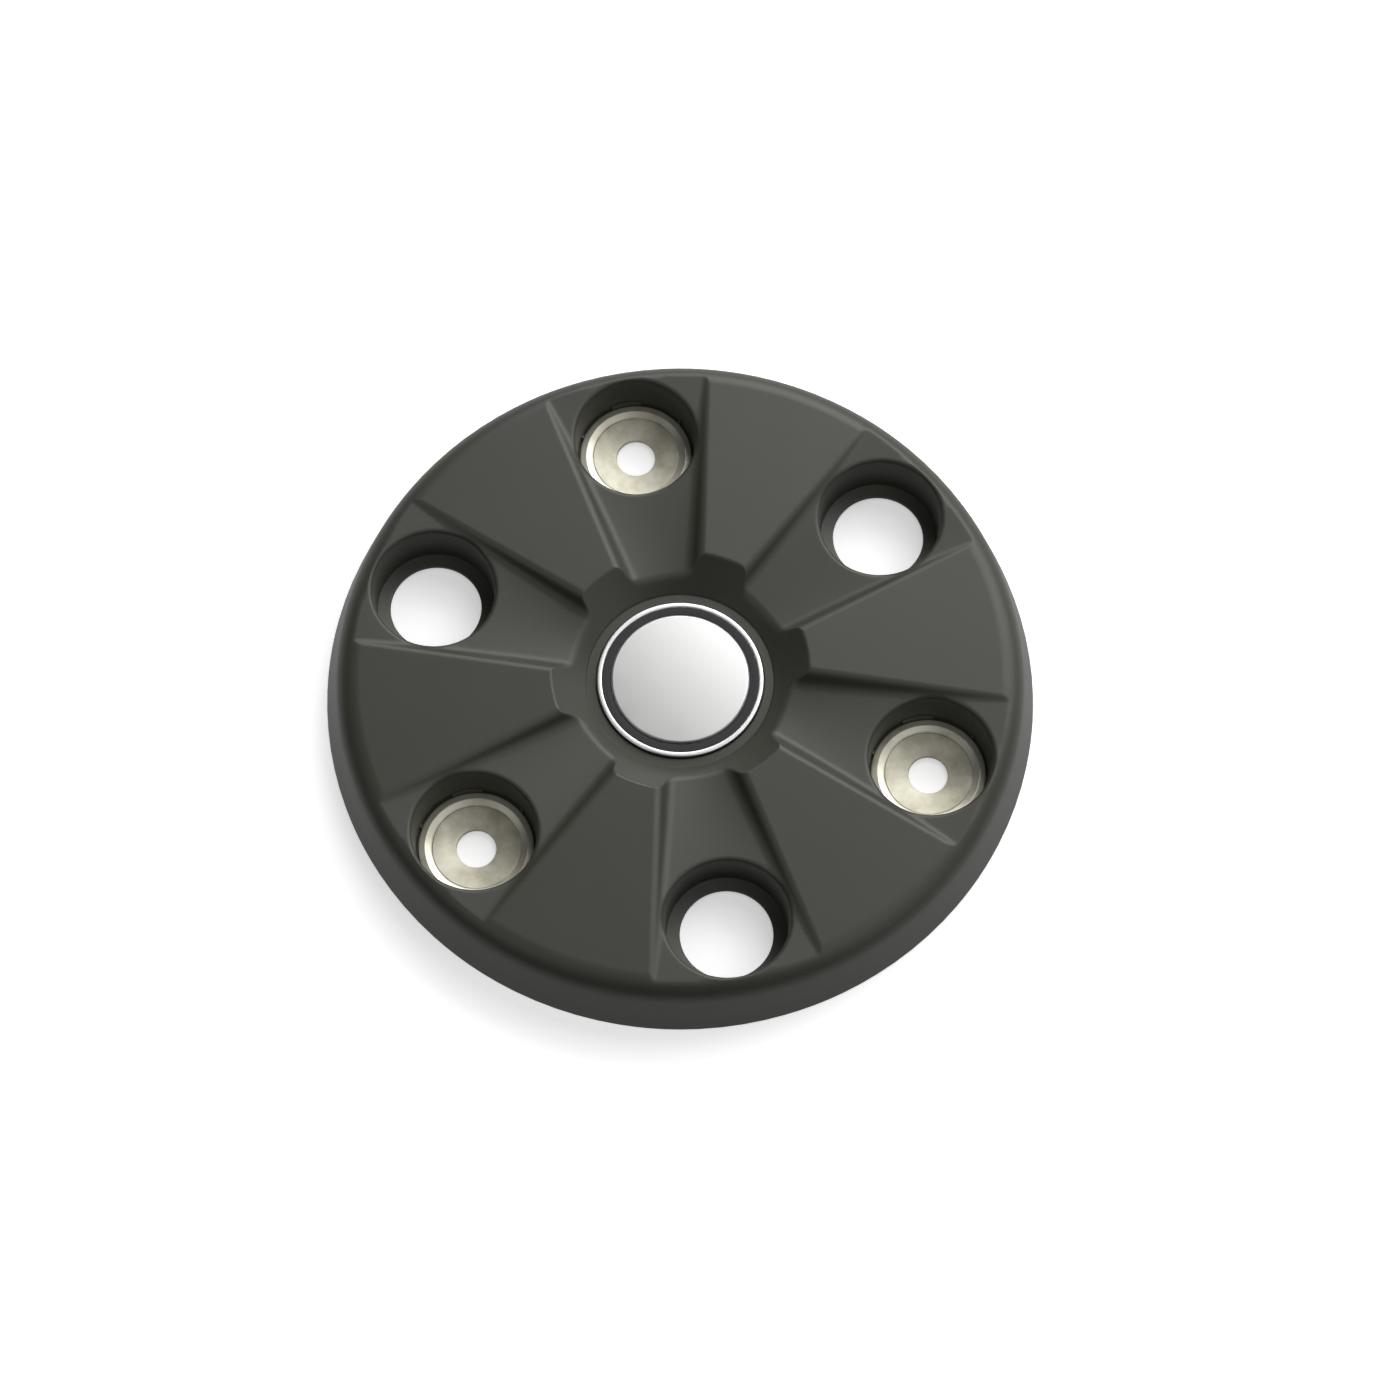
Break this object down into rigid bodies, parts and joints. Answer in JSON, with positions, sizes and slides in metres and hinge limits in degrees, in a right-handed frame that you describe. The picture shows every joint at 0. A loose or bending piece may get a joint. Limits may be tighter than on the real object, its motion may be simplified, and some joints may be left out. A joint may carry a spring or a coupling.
{
  "type": "wheel center cap",
  "caption": "Round dark plastic wheel cover with recessed nut pockets between raised fans, dished steel washers held under the wheel nuts and a plain round badge in the hub bowl.",
  "frame": {"origin": "centre of the plane that the skirt stands on", "axes": "+Z along the wheel's axis, out of the visible face; +Y towards one of the washer pockets"},
  "size_m": [0.2768, 0.2768, 0.0249],
  "materials": {
    "cap_plastic": "matte moulded plastic with a fine grain",
    "washer_steel": "bare zinc-plated pressed sheet",
    "badge_black": "satin dark grey",
    "badge_chrome": "bright plated"
  },
  "bodies": {
    "root": {"cap_shell": "cap_plastic", "cup_washer_1": "washer_steel", "cup_washer_2": "washer_steel", "cup_washer_3": "washer_steel", "badge_base": "badge_black", "badge_ring": "badge_chrome", "badge_disc": "badge_chrome"}
  },
  "joints": []
}
